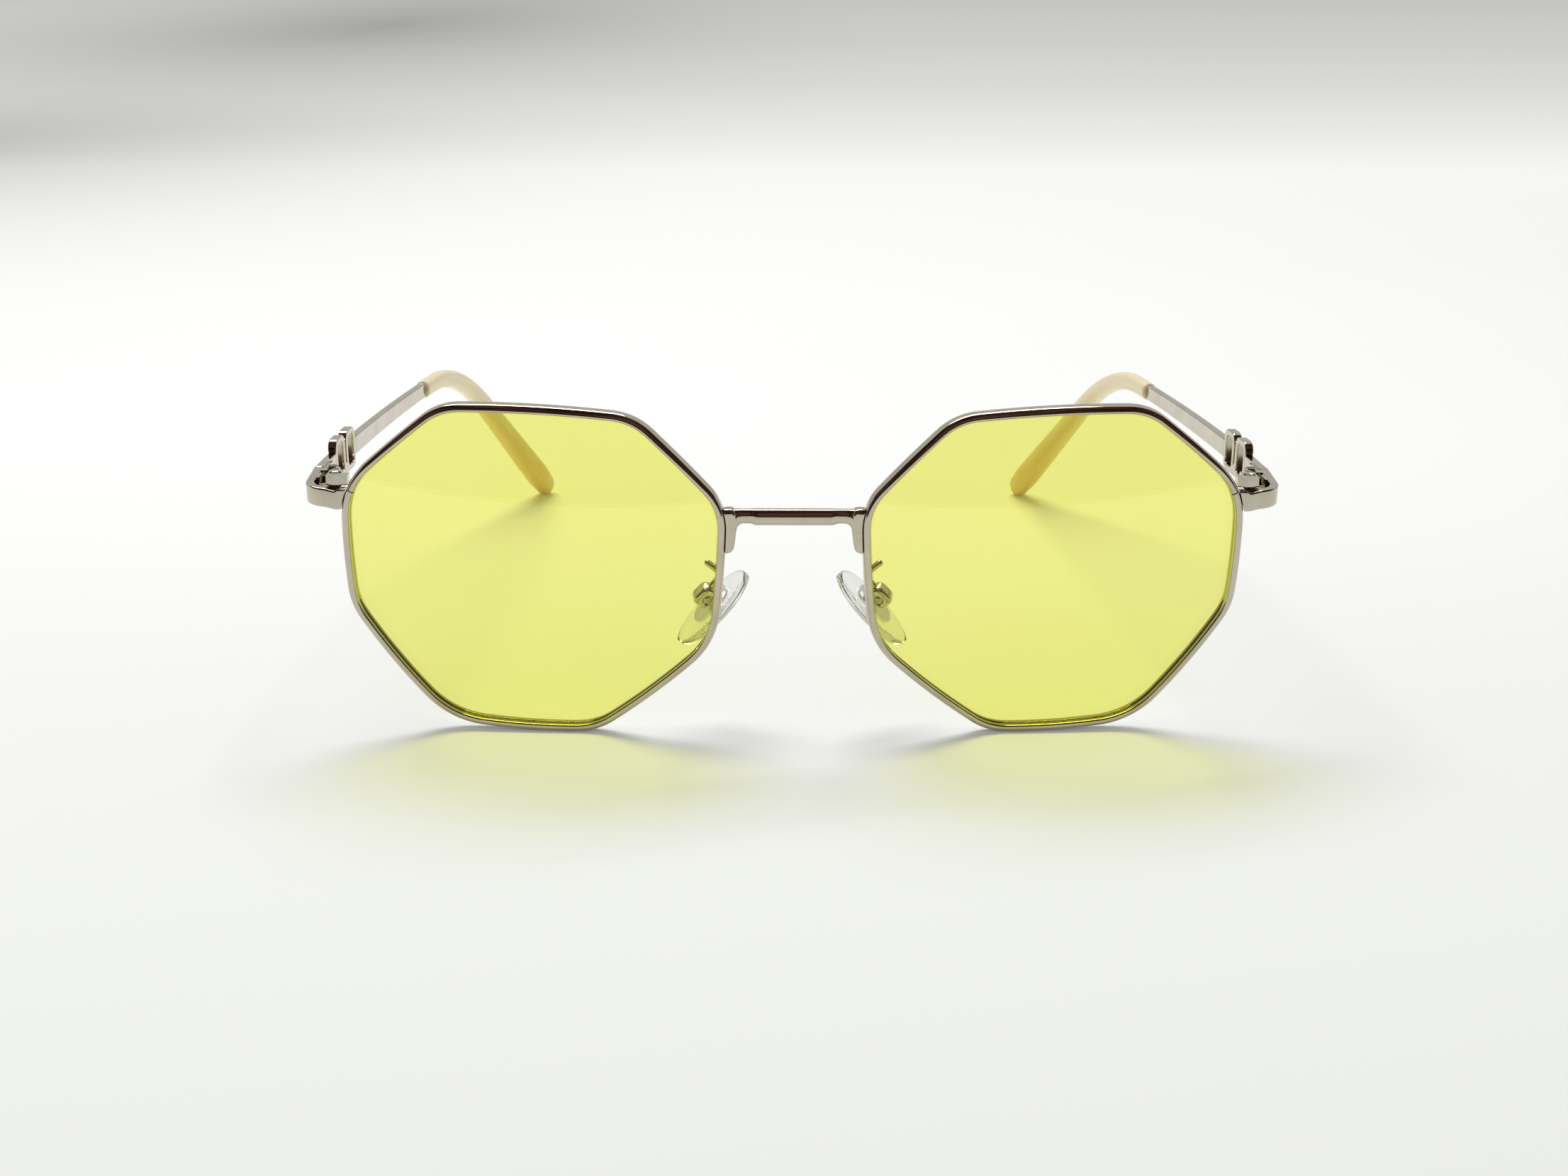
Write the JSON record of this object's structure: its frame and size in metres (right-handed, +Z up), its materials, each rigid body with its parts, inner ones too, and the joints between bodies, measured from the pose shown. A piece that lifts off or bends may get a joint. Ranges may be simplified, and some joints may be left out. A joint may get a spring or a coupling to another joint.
{
  "type": "geometric sunglasses",
  "caption": "Metal sunglasses with thin octagonal rims, tinted curved lenses, rocking nose pads and temples that fold on barrel hinges.",
  "frame": {"origin": "bottom centre of the bounding box, on the table that the rims and the tips stand on", "axes": "+X to the viewer's right as the front is seen, +Y back along the temples, +Z up; X = 0 is the mirror plane"},
  "size_m": [0.1404, 0.1316, 0.0506],
  "materials": {
    "bright_metal": "polished silver-tone plating",
    "soldered_metal": "tumbled silver-tone plating",
    "screw_metal": "bright turned steel",
    "lens_tint": "clear pale yellow-green tint",
    "tip_plastic": "polished milky ivory",
    "pad_silicone": "soft clear, slightly hazy"
  },
  "bodies": {
    "frame": {"rim_left": "bright_metal", "rim_right": "bright_metal", "lens_left": "lens_tint", "lens_right": "lens_tint", "bridge": "bright_metal", "endpiece_left": "bright_metal", "endpiece_right": "bright_metal", "rim_lock_lower_left": "soldered_metal", "rim_lock_lower_right": "soldered_metal", "rim_lock_upper_left": "soldered_metal", "rim_lock_upper_right": "soldered_metal", "rim_lock_screw_left": "screw_metal", "rim_lock_screw_right": "screw_metal", "front_hinge_leaf_left": "soldered_metal", "front_hinge_leaf_right": "soldered_metal", "hinge_screw_left": "screw_metal", "hinge_screw_right": "screw_metal", "pad_arm_left": "soldered_metal", "pad_arm_right": "soldered_metal", "pad_box_left": "soldered_metal", "pad_box_right": "soldered_metal", "pad_screw_left": "screw_metal", "pad_screw_right": "screw_metal"},
    "temple_left": {"temple_hinge_leaf_left": "soldered_metal", "temple_left": "bright_metal", "temple_tip_left": "tip_plastic", "ornament_left": "bright_metal"},
    "temple_right": {"temple_hinge_leaf_right": "soldered_metal", "temple_right": "bright_metal", "temple_tip_right": "tip_plastic", "ornament_right": "bright_metal"},
    "pad_left": {"nose_pad_left": "pad_silicone", "pad_insert_left": "soldered_metal"},
    "pad_right": {"nose_pad_right": "pad_silicone", "pad_insert_right": "soldered_metal"}
  },
  "joints": [
    {"name": "temple_fold_left", "type": "hinge", "parent": "frame", "child": "temple_left", "pos_m": [-0.06732, -0.05284, 0.03688], "axis": [0, 0, -1], "range_deg": [0, 82]},
    {"name": "temple_fold_right", "type": "hinge", "parent": "frame", "child": "temple_right", "pos_m": [0.06732, -0.05284, 0.03688], "axis": [0, 0, 1], "range_deg": [0, 76]},
    {"name": "pad_rock_left", "type": "hinge", "parent": "frame", "child": "pad_left", "pos_m": [-0.01269, -0.05619, 0.01973], "axis": [-0.1875, 0.9356, 0.2992], "range_deg": [-8, 8]},
    {"name": "pad_rock_right", "type": "hinge", "parent": "frame", "child": "pad_right", "pos_m": [0.01269, -0.05619, 0.01973], "axis": [0.1875, 0.9356, 0.2992], "range_deg": [-8, 8]}
  ]
}
